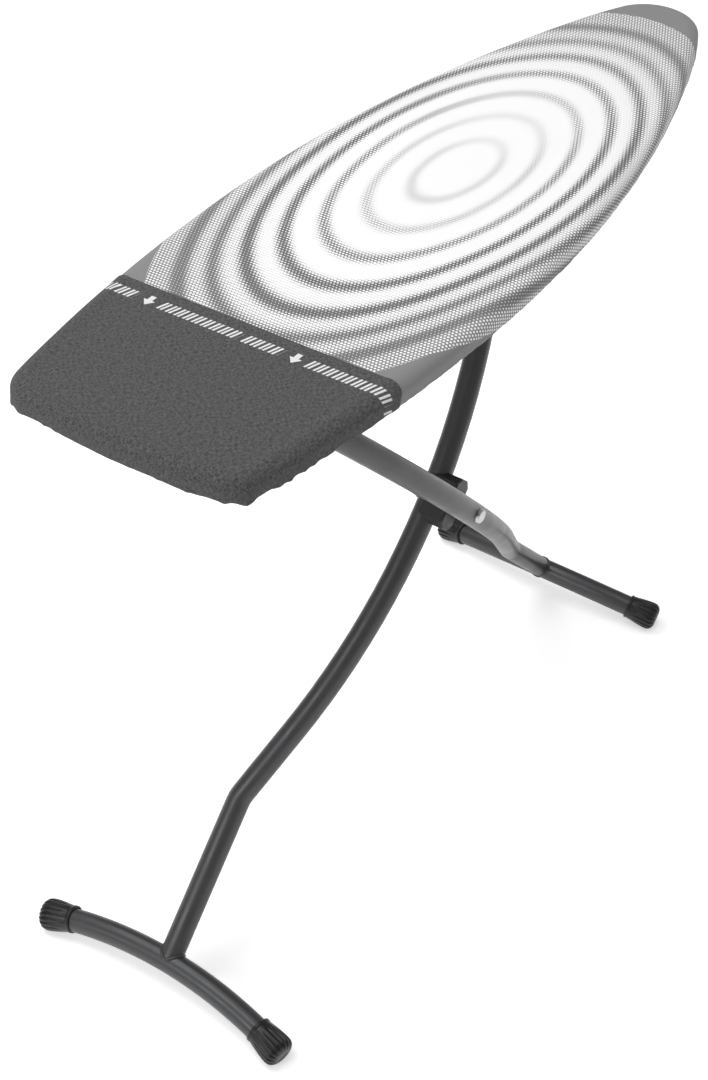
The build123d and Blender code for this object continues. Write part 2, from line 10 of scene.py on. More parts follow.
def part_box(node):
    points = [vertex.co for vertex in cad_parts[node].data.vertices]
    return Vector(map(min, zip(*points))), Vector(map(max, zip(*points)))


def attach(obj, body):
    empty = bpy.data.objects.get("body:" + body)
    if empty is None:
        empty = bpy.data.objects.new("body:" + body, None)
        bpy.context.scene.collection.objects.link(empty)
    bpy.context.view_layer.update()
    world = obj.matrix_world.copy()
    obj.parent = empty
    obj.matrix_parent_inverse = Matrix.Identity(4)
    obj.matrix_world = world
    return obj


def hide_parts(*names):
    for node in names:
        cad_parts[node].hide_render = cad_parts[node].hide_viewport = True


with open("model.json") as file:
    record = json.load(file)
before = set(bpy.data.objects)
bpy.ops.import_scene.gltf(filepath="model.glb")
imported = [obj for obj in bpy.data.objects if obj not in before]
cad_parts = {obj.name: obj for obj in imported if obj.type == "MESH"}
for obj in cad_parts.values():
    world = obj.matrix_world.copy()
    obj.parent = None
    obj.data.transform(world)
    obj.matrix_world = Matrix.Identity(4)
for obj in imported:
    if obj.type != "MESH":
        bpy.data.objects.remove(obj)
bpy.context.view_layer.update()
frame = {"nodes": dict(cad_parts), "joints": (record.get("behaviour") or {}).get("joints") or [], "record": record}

# Looks of a folding ironing board, in metres, in the CAD frame:
# +X to the pointed nose, +Y to the far long side, +Z up, origin on the floor.
nodes = frame["nodes"]
cover_low, cover_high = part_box("cover")
zone_low, zone_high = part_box("heat_zone_cover")
plate_low, plate_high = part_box("top_plate")
underlay_low, underlay_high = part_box("underlay")

top_z = cover_high.z
hem_x = zone_high.x
nose_x = cover_high.x
end_x = zone_low.x
board_depth = top_z - cover_low.z

same_point = 2e-5           # points nearer than this are joined

# ---- cover ----
outline_steps = 560         # along one long side, from the nose to the square end
cloth_thickness = 0.0011
zone_lift = 0.0009          # the heat zone lies on the printed cloth
edge_run = 0.020            # how far the padded edge rounds in from the outline
edge_drop = 0.0155
turn_radius = 0.0035        # where the side turns under the rim
lip_reach = 0.026           # of the cover, turned under the rim
tunnel_radius = 0.0026      # of the drawcord hem
tunnel_width = 1.3          # of the tunnel, over its height
slackness = 0.0004          # the cloth lies this much under the highest point
dent_limit = 0.0014         # so that no gather reaches the rim
hem_slant = -0.021          # the hem runs a little across the board
hem_overlap = 0.02          # of the printed cloth under the heat zone
hem_width = 0.013
side_slant = 0.009          # the hem runs back by this much down the board's side
row_offset = 0.027          # middle of the printed row, from the hem
row_height = 0.017

# ---- print ----
print_x = 0.068             # middle of the ovals
oval_stretch_nose = 2.0     # length over width of the ovals
oval_stretch_end = 2.15
oval_rings = (              # half width, strength
    (0.045, 0.44), (0.085, 0.46), (0.1225, 0.68), (0.1575, 0.78),
    (0.189, 0.66), (0.217, 0.42), (0.245, 0.42),
)
ring_width = 0.0125
white_within = 0.12         # the ground between the rings darkens outside this half width
plain_from = 0.274          # plain grey outside this half width
dot_cell = (0.0099, 0.00476)    # spacing of the dots along and across the board
cotton_pitch = 0.00062      # of the weave
fine_fibre = 900.0

# ---- row on the heat zone ----
row_repeat = 0.219          # from one arrow to the next
arrow_y = 0.138             # of the first arrow
row_slant = 0.3
bar_groups = ((0.019, 0.138), (0.146, 0.199))   # from the arrow, where the bars start and end
bar_pitch = 0.0132          # of a pair of bars
bar_share = 0.24            # of the pitch, for one bar
second_bar = 0.42           # of the pitch, where the second bar starts
arrow_tip = 0.002           # past the row's edge
arrow_head = 0.011
arrow_spread = 0.8          # half width of the head over its length
arrow_length = 0.0205
shaft_half_width = 0.0037
shaft_overlap = 0.0005
seam_offset = 0.0125        # stitching, from the hem
stitch_pitch = 0.0034
charcoal_pitch = 0.00085    # of the weave


# ---------------------------------------------------------------- node trees
class Shader:
    """One material's nodes, with short calls for its maths."""

    def __init__(self, name, colour=None, **sockets):
        self.material = bpy.data.materials.new(name)
        self.material.use_nodes = True
        self.tree = self.material.node_tree
        self.surface = self.tree.nodes["Principled BSDF"]
        if colour is not None:
            self.surface.inputs["Base Color"].default_value = (*colour, 1.0)
        for socket, value in sockets.items():
            self.surface.inputs[socket.replace("_", " ")].default_value = value

    def node(self, kind, values=(), **settings):
        """A new node with its settings made and its first inputs set or linked."""
        made = self.tree.nodes.new("ShaderNode" + kind)
        for key, value in settings.items():
            setattr(made, key, value)
        for socket, value in zip(made.inputs, values):
            self.feed(socket, value)
        return made

    def feed(self, socket, value):
        if isinstance(value, bpy.types.NodeSocket):
            self.tree.links.new(value, socket)
        elif value is not None:
            socket.default_value = value

    def maths(self, operation, *values):
        return self.node("Math", values, operation=operation).outputs[0]

    def between(self, value, low, high, start=0.0, end=1.0, smooth=True):
        """Value mapped from low-high to start-end, clamped."""
        kind = "SMOOTHSTEP" if smooth else "LINEAR"
        return self.node("MapRange", (value, low, high, start, end), interpolation_type=kind).outputs[0]

    def place(self, attribute=None):
        """The point being shaded: in the object, or on the flat cloth it was cut from."""
        if attribute is None:
            return self.node("TexCoord").outputs["Object"]
        return self.node("Attribute", attribute_name=attribute).outputs["Vector"]

    def scaled(self, vector, factors):
        return self.node("VectorMath", (vector, factors), operation="MULTIPLY").outputs[0]

    def noise(self, vector, scale, detail=2.0, roughness=0.5):
        made = self.node("TexNoise")
        self.feed(made.inputs["Vector"], vector)
        made.inputs["Scale"].default_value = scale
        made.inputs["Detail"].default_value = detail
        made.inputs["Roughness"].default_value = roughness
        return made.outputs["Fac"]

    def mix(self, share, first, second):
        """First colour at share 0, second at 1."""
        made = self.node("Mix", data_type="RGBA")
        for index, value in ((0, share), (6, first), (7, second)):
            if isinstance(value, tuple) and len(value) == 3:
                value = (*value, 1.0)
            self.feed(made.inputs[index], value)
        return made.outputs[2]

    def link(self, socket, value):
        self.feed(self.surface.inputs[socket], value)

    def bump(self, height, distance, strength=1.0):
        made = self.node("Bump")
        made.inputs["Strength"].default_value = strength
        made.inputs["Distance"].default_value = distance
        self.feed(made.inputs["Height"], height)
        self.link("Normal", made.outputs["Normal"])

    def weave(self, place, pitch):
        """Height of a plain weave: two sets of threads, over and under each other."""
        x, y, _ = self.node("SeparateXYZ", (self.scaled(place, (math.pi / pitch,) * 3),)).outputs
        warp = self.maths("ABSOLUTE", self.maths("SINE", x))
        weft = self.maths("ABSOLUTE", self.maths("SINE", y))
        return self.maths("MULTIPLY", warp, weft)


def cover_print():
    """White cotton with grey ovals in staggered dots, plain grey outside them."""
    shader = Shader("printed_cotton", Roughness=0.82, Sheen_Weight=0.12, Sheen_Roughness=0.5)
    m = shader.maths
    place = shader.place("flat_place")
    x, y, _ = shader.node("SeparateXYZ", (place,)).outputs
    from_middle = m("SUBTRACT", x, print_x)
    to_nose = m("DIVIDE", m("MAXIMUM", from_middle, 0.0), oval_stretch_nose)
    to_end = m("DIVIDE", m("MINIMUM", from_middle, 0.0), oval_stretch_end)
    along = m("ADD", to_nose, to_end)
    oval = m("SQRT", m("ADD", m("MULTIPLY", along, along), m("MULTIPLY", y, y)))
    tone = shader.between(oval, white_within, plain_from, 0.02, 0.70)
    rings = None
    for half_width, strength in oval_rings:
        away = m("ABSOLUTE", m("SUBTRACT", oval, half_width))
        ring = shader.between(away, 0.0, ring_width, strength, 0.0)
        rings = ring if rings is None else m("ADD", rings, ring)
    # They pale towards the nose.
    rings = m("MULTIPLY", rings, shader.between(m("DIVIDE", to_nose, oval), 0.3, 1.0, 1.0, 0.7))
    tone = m("ADD", tone, rings)
    plain = m("GREATER_THAN", oval, plain_from)
    tone = m("MAXIMUM", m("MINIMUM", tone, 0.94), plain)
    # The white dots shrink as the tone darkens.
    radius = m("MULTIPLY", m("POWER", m("SUBTRACT", 1.0, tone), 0.5), 0.64 * dot_cell[1])
    nearest = None
    for shift in (0.0, 0.5):
        parts = []
        for value, size in ((x, dot_cell[0]), (y, dot_cell[1])):
            cell = m("FRACT", m("ADD", m("DIVIDE", value, size), shift))
            parts.append(m("POWER", m("MULTIPLY", m("SUBTRACT", cell, 0.5), size), 2.0))
        reach = m("SQRT", m("ADD", *parts))
        nearest = reach if nearest is None else m("MINIMUM", nearest, reach)
    ink = shader.between(m("SUBTRACT", nearest, radius), -0.0003, 0.0003)
    ink = m("MULTIPLY", ink, m("GREATER_THAN", tone, 0.03))
    fibre = shader.noise(shader.scaled(place, (fine_fibre,) * 3), 1.0, 3.0)
    white = shader.mix(fibre, (0.91, 0.91, 0.91), (0.95, 0.95, 0.945))
    grey = shader.mix(fibre, (0.200, 0.200, 0.203), (0.255, 0.255, 0.258))
    dark = shader.mix(fibre, (0.115, 0.115, 0.117), (0.155, 0.155, 0.157))
    deep = m("MULTIPLY", shader.between(rings, 0.05, 0.6), m("SUBTRACT", 1.0, plain))
    shader.link("Base Color", shader.mix(ink, white, shader.mix(deep, grey, dark)))
    height = m("ADD", shader.weave(place, cotton_pitch), m("MULTIPLY", fibre, 0.5))
    shader.bump(height, 0.00018, 0.6)
    return shader.material


def cover_charcoal():
    """Charcoal heather cloth with a white row of slanted bars and arrows, and a stitched hem."""
    shader = Shader("charcoal_heather", Roughness=0.9, Sheen_Weight=0.06, Sheen_Roughness=0.5)
    m = shader.maths
    place = shader.place("flat_place")
    x, y, _ = shader.node("SeparateXYZ", (place,)).outputs
    along = shader.noise(shader.scaled(place, (190.0, 820.0, 1.0)), 1.0, 2.0, 0.6)
    across = shader.noise(shader.scaled(place, (820.0, 190.0, 1.0)), 1.0, 2.0, 0.6)
    patch = shader.noise(place, 140.0, 2.0)
    threads = m("ADD", m("MULTIPLY", m("ADD", along, across), 0.47), m("MULTIPLY", patch, 0.06))
    lightness = shader.between(threads, 0.41, 0.59)
    heather = shader.mix(lightness, (0.036, 0.036, 0.037), (0.113, 0.113, 0.116))

    hem = m("SUBTRACT", hem_x, x)
    hem = m("ADD", hem, m("MULTIPLY", y, hem_slant))
    up = m("SUBTRACT", hem, row_offset)           # towards the square end, from the row's middle
    inside_row = m("LESS_THAN", m("ABSOLUTE", up), row_height / 2)
    turn = m("FRACT", m("DIVIDE", m("SUBTRACT", arrow_y, y), row_repeat))
    run = m("MULTIPLY", turn, row_repeat)         # along the row, from the last arrow
    slanted = m("ADD", run, m("MULTIPLY", up, row_slant))
    bars = None
    for first, last in bar_groups:
        in_group = m("MULTIPLY", m("GREATER_THAN", slanted, first), m("LESS_THAN", slanted, last))
        step = m("FRACT", m("DIVIDE", m("SUBTRACT", slanted, first), bar_pitch))
        second_end = second_bar + bar_share
        second = m("MULTIPLY", m("GREATER_THAN", step, second_bar), m("LESS_THAN", step, second_end))
        group = m("MULTIPLY", in_group, m("MAXIMUM", m("LESS_THAN", step, bar_share), second))
        bars = group if bars is None else m("MAXIMUM", bars, group)
    from_arrow = m("MINIMUM", run, m("SUBTRACT", row_repeat, run))
    back = m("SUBTRACT", row_height / 2 + arrow_tip, up)    # from the arrow's tip
    head = m("LESS_THAN", from_arrow, m("MULTIPLY", back, arrow_spread))
    head = m("MULTIPLY", head, m("LESS_THAN", back, arrow_head))
    shaft = m("LESS_THAN", from_arrow, shaft_half_width)
    shaft = m("MULTIPLY", shaft, m("GREATER_THAN", back, arrow_head - shaft_overlap))
    arrow = m("MULTIPLY", m("MAXIMUM", head, shaft), m("LESS_THAN", back, arrow_length))
    arrow = m("MULTIPLY", arrow, m("GREATER_THAN", back, 0.0))
    white = m("MAXIMUM", arrow, m("MULTIPLY", bars, inside_row))
    shader.link("Base Color", shader.mix(white, heather, (0.80, 0.80, 0.79)))

    seam = m("ABSOLUTE", m("SUBTRACT", hem, seam_offset))
    dash = m("LESS_THAN", m("FRACT", m("DIVIDE", y, stitch_pitch)), 0.7)
    stitch = m("MULTIPLY", shader.between(seam, 0.0002, 0.0009, 1.0, 0.0), dash)
    groove = shader.between(seam, 0.0, 0.0035, -1.4, 0.0)
    height = m("ADD", shader.weave(place, charcoal_pitch), m("MULTIPLY", threads, 0.5))
    height = m("ADD", height, m("ADD", groove, stitch))
    shader.bump(height, 0.00028, 0.8)
    return shader.material


def felt():
    shader = Shader("needled_felt", Roughness=0.95, Sheen_Weight=0.3)
    place = shader.place()
    fibre = shader.noise(shader.scaled(place, (500.0, 900.0, 700.0)), 1.0, 4.0, 0.65)
    shader.link("Base Color", shader.mix(fibre, (0.58, 0.565, 0.53), (0.82, 0.81, 0.78)))
    shader.bump(fibre, 0.0006, 0.8)
    return shader.material


def paint(name, dark, light, metallic, rough, grain, flake):
    """Sprayed coat on steel: fine orange peel, flakes in the colour, a little uneven gloss."""
    shader = Shader(name, Metallic=metallic, Coat_Weight=0.12, Coat_Roughness=0.3)
    place = shader.place()
    flakes = shader.noise(place, flake, 1.0)
    shader.link("Base Color", shader.mix(shader.between(flakes, 0.35, 0.65), dark, light))
    cloud = shader.noise(place, 22.0, 2.0)
    shader.link("Roughness", shader.between(cloud, 0.3, 0.7, rough - 0.04, rough + 0.05))
    shader.bump(shader.noise(place, grain, 2.0), 0.00012, 0.35)
    return shader.material


def brushed(name, colour, rough):
    """Plated or brushed metal, with fine lines and small marks."""
    shader = Shader(name, Metallic=1.0)
    place = shader.place()
    lines = shader.noise(shader.scaled(place, (220.0, 2600.0, 2600.0)), 1.0, 2.0)
    darker = tuple(c * 0.8 for c in colour)
    shader.link("Base Color", shader.mix(lines, darker, colour))
    marks = shader.noise(place, 160.0, 3.0)
    shader.link("Roughness", shader.between(marks, 0.3, 0.75, rough, rough + 0.16))
    shader.bump(lines, 0.00005, 0.4)
    return shader.material


def moulded(name, dark, light, rough, grain, depth):
    """Moulded plastic or rubber with a fine eroded grain."""
    shader = Shader(name, Specular_IOR_Level=0.45)
    place = shader.place()
    fine = shader.noise(place, grain, 3.0, 0.6)
    shader.link("Base Color", shader.mix(fine, dark, light))
    broad = shader.noise(place, 45.0, 2.0)
    shader.link("Roughness", shader.between(broad, 0.3, 0.7, rough - 0.06, rough + 0.06))
    shader.bump(fine, depth, 0.5)
    return shader.material


finishes = {
    "cover_print": cover_print(),
    "cover_charcoal": cover_charcoal(),
    "felt": felt(),
    "leg_paint": paint(
        "satin_leg_paint", (0.048, 0.049, 0.051), (0.085, 0.086, 0.089),
        metallic=0.5, rough=0.40, grain=900.0, flake=2600.0,
    ),
    "frame_steel": paint(
        "grey_powder_coat", (0.20, 0.20, 0.205), (0.26, 0.26, 0.265),
        metallic=0.15, rough=0.5, grain=1100.0, flake=1800.0,
    ),
    "bright_steel": brushed("zinc_plate", (0.62, 0.62, 0.63), rough=0.28),
    "black_plastic": moulded(
        "black_plastic", (0.010, 0.010, 0.011), (0.022, 0.022, 0.023),
        rough=0.42, grain=1500.0, depth=0.00006,
    ),
    "black_rubber": moulded(
        "black_rubber", (0.006, 0.006, 0.006), (0.014, 0.014, 0.014),
        rough=0.36, grain=1100.0, depth=0.00008,
    ),
    "badge_metal": brushed("satin_chrome", (0.62, 0.62, 0.63), rough=0.3),
}
for part in frame["record"]["subparts"]:
    owner = nodes[part["node"]]
    for holder in owner.material_slots:
        holder.material = finishes[part["material_slot"]]


# ---------------------------------------------------------------- mesh helpers
def new_object(name, vertices, faces, slot_name, body="board", smooth=True):
    """A mesh piece that rides on a CAD body, with the finish of a material slot."""
    mesh = bpy.data.meshes.new(name)
    mesh.from_pydata([tuple(v) for v in vertices], [], [tuple(f) for f in faces])
    mesh.polygons.foreach_set("use_smooth", [smooth] * len(mesh.polygons))
    mesh.materials.append(finishes[slot_name])
    made = bpy.data.objects.new(name, mesh)
    bpy.context.scene.collection.objects.link(made)
    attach(made, body)
    return made


def grid_faces(rows, columns, wrap_rows=False, wrap_columns=True):
    """Quads between neighbouring rows of a grid, numbered row by row."""
    faces = []
    for r in range(rows if wrap_rows else rows - 1):
        this_row, next_row = r * columns, (r + 1) % rows * columns
        for c in range(columns if wrap_columns else columns - 1):
            across = (c + 1) % columns
            faces.append((this_row + c, this_row + across, next_row + across, next_row + c))
    return faces


def clean(piece, merge=None):
    """Joins points nearer than the merge distance, if there is one, and turns the faces outwards."""
    mesh = bmesh.new()
    mesh.from_mesh(piece.data)
    if merge is not None:
        bmesh.ops.remove_doubles(mesh, verts=mesh.verts, dist=merge)
    bmesh.ops.recalc_face_normals(mesh, faces=mesh.faces)
    mesh.to_mesh(piece.data)
    mesh.free()


def tube(name, path, radius, slot_name, body, sides=10, closed=False):
    """A round bar along a list of points, with domed ends unless it is closed."""
    points = [Vector(p) for p in path]
    count = len(points)
    tangents = []
    for i in range(count):
        before = points[(i - 1) % count] if closed or i else points[0]
        after = points[(i + 1) % count] if closed or i < count - 1 else points[-1]
        tangents.append((after - before).normalized())
    side = tangents[0].orthogonal().normalized()
    vertices = []
    for i in range(count):
        side = (side - side.dot(tangents[i]) * tangents[i]).normalized()
        other = tangents[i].cross(side)
        size = radius if closed or 0 < i < count - 1 else radius * 0.6
        for k in range(sides):
            angle = 2 * math.pi * k / sides
            vertices.append(points[i] + size * (math.cos(angle) * side + math.sin(angle) * other))
    faces = grid_faces(count, sides, wrap_rows=closed)
    if not closed:
        faces.append(tuple(reversed(range(sides))))
        faces.append(tuple(range((count - 1) * sides, count * sides)))
    return new_object(name, vertices, faces, slot_name, body)


# ---------------------------------------------------------------- outline
def board_outline():
    """The board from above, as even points from the nose round the far side first, both sides alike."""
    corners = [v.co.xy for n in ("cover", "heat_zone_cover") for v in nodes[n].data.vertices]
    hull = np.array([corners[i] for i in convex_hull_2d(corners)])
    far = hull[hull[:, 1] > 1e-5]
    far = far[np.argsort(np.arctan2(far[:, 1], far[:, 0]))]
    side = np.vstack([[nose_x, 0.0], far, [end_x, 0.0]])
    reach = np.concatenate([[0.0], np.cumsum(np.linalg.norm(np.diff(side, axis=0), axis=1))])
    stops = np.linspace(0.0, reach[-1], outline_steps + 1)
    half = np.column_stack([np.interp(stops, reach, side[:, k]) for k in (0, 1)])
    ring = np.vstack([half, half[-2:0:-1] * (1.0, -1.0)])
    for _ in range(8):
        ring = (np.roll(ring, 1, 0) + 2 * ring + np.roll(ring, -1, 0)) / 4
    return ring


outline = board_outline()
forward = np.roll(outline, -1, 0) - np.roll(outline, 1, 0)
forward /= np.linalg.norm(forward, axis=1)[:, None]
outward = np.column_stack([forward[:, 1], -forward[:, 0]])
points_round = len(outline)


def waves(scale, seed):
    """Smooth random values round the outline, from -1 to 1."""
    return np.array([noise.noise(Vector((x * scale, y * scale, seed))) * 1.6 for x, y in outline])


def near(x, y, radius):
    """1 at the outline's points nearest to (x, y), fading over a radius, on both long sides."""
    away = np.hypot(outline[:, 0] - x, np.abs(outline[:, 1]) - y)
    return np.exp(-((away / radius) ** 2))


def spine():
    """Where the rows of a board-shaped mesh meet, along the board's middle."""
    middle = (end_x + nose_x) / 2
    return np.column_stack([middle + (outline[:, 0] - middle) * 0.8, np.zeros(points_round)])


def flat_rows(inset, z, shares):
    """Rows from the board's middle out to an inset outline, at height z."""
    rim = outline - outward * inset
    return [(spine() + (rim - spine()) * share, z) for share in shares]


# ---------------------------------------------------------------- cloth cover
def cover_profile():
    """The cover's edge as (inwards from the outline, below the top)."""
    rounding = [
        (edge_run * (1 - math.sin(angle)), edge_drop * (1 - math.cos(angle)))
        for angle in np.radians(np.linspace(0, 90, 9))
    ]
    side_depth = board_depth - turn_radius - edge_drop
    side = [(0.0, edge_drop + side_depth * i / 5) for i in range(1, 6)]
    turn = [
        (turn_radius * (1 - math.cos(angle)), board_depth - turn_radius * (1 - math.sin(angle)))
        for angle in np.radians(np.linspace(0, 90, 5)[1:])
    ]
    lip = [(turn_radius + (lip_reach - turn_radius) * i / 7, board_depth) for i in range(1, 8)]
    tunnel = [
        (
            lip_reach + tunnel_radius * tunnel_width * math.sin(angle),
            board_depth - tunnel_radius * (1 - math.cos(angle)),
        )
        for angle in np.radians(36 * np.arange(1, 9))
    ]
    return rounding + side + turn + lip + tunnel


def cloth_mesh(lift):
    """The whole cover, gathered at its lower edge, with each point's place on the flat cloth kept."""
    profile = cover_profile()
    broad, fine, finer = waves(17.0, 3.1), waves(52.0, 7.7), waves(105.0, 1.3)
    ridges = 1 - 2 * np.abs(fine)
    pull = (
        0.30
        + 1.9 * near(end_x + 0.035, 0.168, 0.055)
        + 0.55 * near(end_x + 0.13, 0.195, 0.09)
        + 0.4 * near(nose_x - 0.02, 0.03, 0.08)
    )
    rim = outline - outward * edge_run
    ramp = np.linspace(0.0, 1.0, 23)[:-1]
    places, flats = [], []
    for share in 1 - (1 - ramp) ** 1.25:
        flat = spine() + (rim - spine()) * share
        soft = np.array([noise.noise(Vector((x * 7, y * 7, 0.4))) for x, y in flat])
        near_edge = share ** 6
        z = top_z + (soft - 1) * slackness - near_edge * pull * 0.0003 * np.abs(fine)
        places.append(np.column_stack([flat, z]))
        flats.append(np.column_stack([flat, np.zeros(points_round)]))
    travelled, last = 0.0, profile[0]
    for inwards, below in profile:
        travelled += math.hypot(inwards - last[0], below - last[1])
        last = (inwards, below)
        depth = min(below / board_depth, 1.0)
        under = min(inwards / lip_reach, 1.3) if below > 0.5 * board_depth else 0.0
        slack = pull * (0.0002 + 0.0019 * depth ** 2)
        swell = slack * (0.7 * broad + 0.65 * ridges * depth + 0.35 * finer * under)
        swell = np.maximum(swell, -dent_limit)
        hang = 0.0011 * np.maximum(broad, -0.2) + (0.0008 + 0.0007 * under) * np.maximum(ridges, 0)
        hang = hang * pull * depth ** 4 + under * pull * (0.0009 * finer + 0.0008 * ridges)
        sideways = outline - outward * (inwards - swell - lift)[:, None]
        z = top_z - slackness - below - hang - (lift if under > 0.1 else -lift * (1 - depth))
        places.append(np.column_stack([sideways, z]))
        flats.append(np.column_stack([rim + outward * travelled, np.zeros(points_round)]))
    mesh = bmesh.new()
    layer = mesh.verts.layers.float_vector.new("flat_place")
    made = []
    for place, flat in zip(np.vstack(places), np.vstack(flats)):
        vertex = mesh.verts.new(place)
        vertex[layer] = Vector(flat)
        made.append(vertex)
    for face in grid_faces(len(places), points_round):
        mesh.faces.new([made[i] for i in face])
    bmesh.ops.remove_doubles(mesh, verts=made[:points_round], dist=same_point)
    bmesh.ops.dissolve_degenerate(mesh, dist=1e-7, edges=mesh.edges)
    return mesh, layer


def cut_cloth(mesh, x, slant, keep_nose):
    """Cuts the cover across and keeps one side of the cut."""
    normal = Vector((1.0, -slant, 0.0)).normalized()
    everything = mesh.verts[:] + mesh.edges[:] + mesh.faces[:]
    bmesh.ops.bisect_plane(
        mesh, geom=everything, plane_co=(x, 0, 0), plane_no=normal,
        clear_inner=keep_nose, clear_outer=not keep_nose,
    )


def flat_area(mesh, layer):
    """Area and size of the cloth as it was cut."""
    total, seen = 0.0, []
    for face in mesh.faces:
        corners = [v[layer].xy for v in face.verts]
        seen += corners
        for i in range(1, len(corners) - 1):
            a, b = corners[i] - corners[0], corners[i + 1] - corners[0]
            total += abs(a.x * b.y - a.y * b.x) / 2
    spread = np.array(seen)
    return total, spread.max(0) - spread.min(0)


def finish_cloth(mesh, layer, name, node, slot_name):
    area, (length, width) = flat_area(mesh, layer)
    bmesh.ops.recalc_face_normals(mesh, faces=mesh.faces)
    if sum(f.normal.z * f.calc_area() for f in mesh.faces) < 0:
        bmesh.ops.reverse_faces(mesh, faces=mesh.faces)
    data = bpy.data.meshes.new(name)
    mesh.to_mesh(data)
    mesh.free()
    data.polygons.foreach_set("use_smooth", [True] * len(data.polygons))
    data.materials.append(finishes[slot_name])
    made = bpy.data.objects.new(name, data)
    bpy.context.scene.collection.objects.link(made)
    thick = made.modifiers.new("thickness", "SOLIDIFY")
    thick.thickness = cloth_thickness
    thick.offset = -1.0
    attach(made, "board")
    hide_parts(node)
    return made


def make_covers():
    """The printed cover and the heat zone over it, whose hem is raised and runs back down the sides."""
    mesh, layer = cloth_mesh(0.0)
    cut_cloth(mesh, hem_x - hem_overlap, hem_slant, keep_nose=True)
    finish_cloth(mesh, layer, "printed_cover", "cover", "cover_print")
    mesh, layer = cloth_mesh(zone_lift)
    cut_cloth(mesh, hem_x, hem_slant, keep_nose=False)
    for vertex in mesh.verts:
        x, y, z = vertex.co
        from_hem = hem_x + hem_slant * y - x
        on_top = z > top_z - 0.01
        vertex.co.z += 0.0005 * math.exp(-((from_hem / hem_width) ** 4)) * on_top
        down = max(0.0, min(1.0, (top_z - 0.004 - z) / board_depth))
        vertex.co.x -= side_slant * down * math.exp(-((from_hem / 0.03) ** 2))
    finish_cloth(mesh, layer, "heat_zone", "heat_zone_cover", "cover_charcoal")


# ---------------------------------------------------------------- underlay
def make_underlay():
    """Felt pad with rounded edges, between the plate and the cover."""
    low, high = underlay_low.z, underlay_high.z
    inset, rounding, flat_from = 0.0065, 0.0155, 0.018
    shares = np.linspace(0.0, 1.0, 14)[:-1]
    rows = flat_rows(inset + flat_from, high, shares)
    for angle in np.radians(np.linspace(0, 90, 9)):
        reach = inset + rounding * (1 - math.sin(angle))
        rows.append((outline - outward * reach, high - (high - low) * (1 - math.cos(angle))))
    rows += flat_rows(inset + 0.002, low, shares[::-1])
    vertices = np.vstack([np.column_stack([place, np.full(points_round, z)]) for place, z in rows])
    pad = new_object("underlay_pad", vertices, grid_faces(len(rows), points_round), "felt")
    clean(pad, merge=same_point)
    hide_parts("underlay")


# ---------------------------------------------------------------- perforated plate
def half_width(x):
    """The outline's half width at x."""
    side = outline[: outline_steps + 1]
    return float(np.interp(-x, -side[:, 0], side[:, 1]))


def make_plate():
    """Honeycomb steel plate with a plain border and a rolled rim."""
    pitch, hole = 0.018, 0.0079
    cell = pitch / math.sqrt(3)
    border = 0.021
    row_step = pitch * math.sqrt(3) / 2
    top, gauge = plate_high.z, 0.001
    spokes = [(math.cos(a), math.sin(a)) for a in np.radians(60 * np.arange(6) + 30)]
    numbers, vertices, faces = {}, [], []

    def number(x, y):
        key = (round(x * 1e5), round(y * 1e5))
        if key not in numbers:
            numbers[key] = len(vertices)
            vertices.append((x, y, top))
        return numbers[key]

    margin = border * 0.8
    for column in range(-45, 46):
        for row in range(-16, 17):
            cx, cy = column * pitch + (row % 2) * pitch / 2, row * row_step
            if not end_x + margin < cx < nose_x - margin or abs(cy) > half_width(cx) - margin:
                continue
            outer = [number(cx + cell * dx, cy + cell * dy) for dx, dy in spokes]
            inner = [number(cx + hole * dx, cy + hole * dy) for dx, dy in spokes]
            for k in range(6):
                after = (k + 1) % 6
                faces.append((outer[k], outer[after], inner[after], inner[k]))
    mesh_plate = new_object("plate_mesh", vertices, faces, "frame_steel", smooth=False)
    thick = mesh_plate.modifiers.new("gauge", "SOLIDIFY")
    thick.thickness = gauge
    thick.offset = -1.0
    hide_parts("top_plate")

    # The rim's section as (inwards from the outline, above the plate): edge strip, bend, rolled bead, inside.
    inset = cover_high.y - plate_high.y
    depth = plate_high.z - plate_low.z
    bead, bend, strip = 0.0021, 0.003, 0.0012
    profile = [(border, -strip), (border, 0.0), (inset + bend, 0.0)]
    profile += [
        (inset + bend * (1 - math.sin(a)), -bend * (1 - math.cos(a)))
        for a in np.radians((30, 60, 90))
    ]
    profile.append((inset, -depth + bead))
    profile += [
        (inset + bead * (1 - math.cos(a)), -depth + bead * (1 - math.sin(a)))
        for a in np.radians((45, 90, 135, 180, 225, 270, 315))
    ]
    inside_bend = 3 * strip
    profile += [
        (inset + gauge, -depth + 2 * bead), (inset + gauge, -inside_bend), (inset + inside_bend, -strip),
    ]
    lifted = top + 0.0001
    vertices = np.vstack([
        np.column_stack([outline - outward * inwards, np.full(points_round, lifted + z)])
        for inwards, z in profile
    ])
    faces = grid_faces(len(profile), points_round, wrap_rows=True)
    rim = new_object("plate_rim", vertices, faces, "frame_steel")
    clean(rim)


# ---------------------------------------------------------------- spring
def make_spring():
    """Coil spring between its anchor pin and the release frame."""
    low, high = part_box("return_spring")
    wire = 0.0009
    radius = (high.y - low.y) / 2 - wire
    turns, steps = 26, 22
    middle = (low + high) / 2
    path = []
    for i in range(turns * steps + 1):
        share = i / (turns * steps)
        angle = 2 * math.pi * turns * share
        x = low.x + wire + (high.x - low.x - 2 * wire) * share
        path.append((x, middle.y + radius * math.cos(angle), middle.z + radius * math.sin(angle)))
    coil = tube("return_coil", path, wire, "bright_steel", "release", sides=8)
    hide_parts("return_spring")


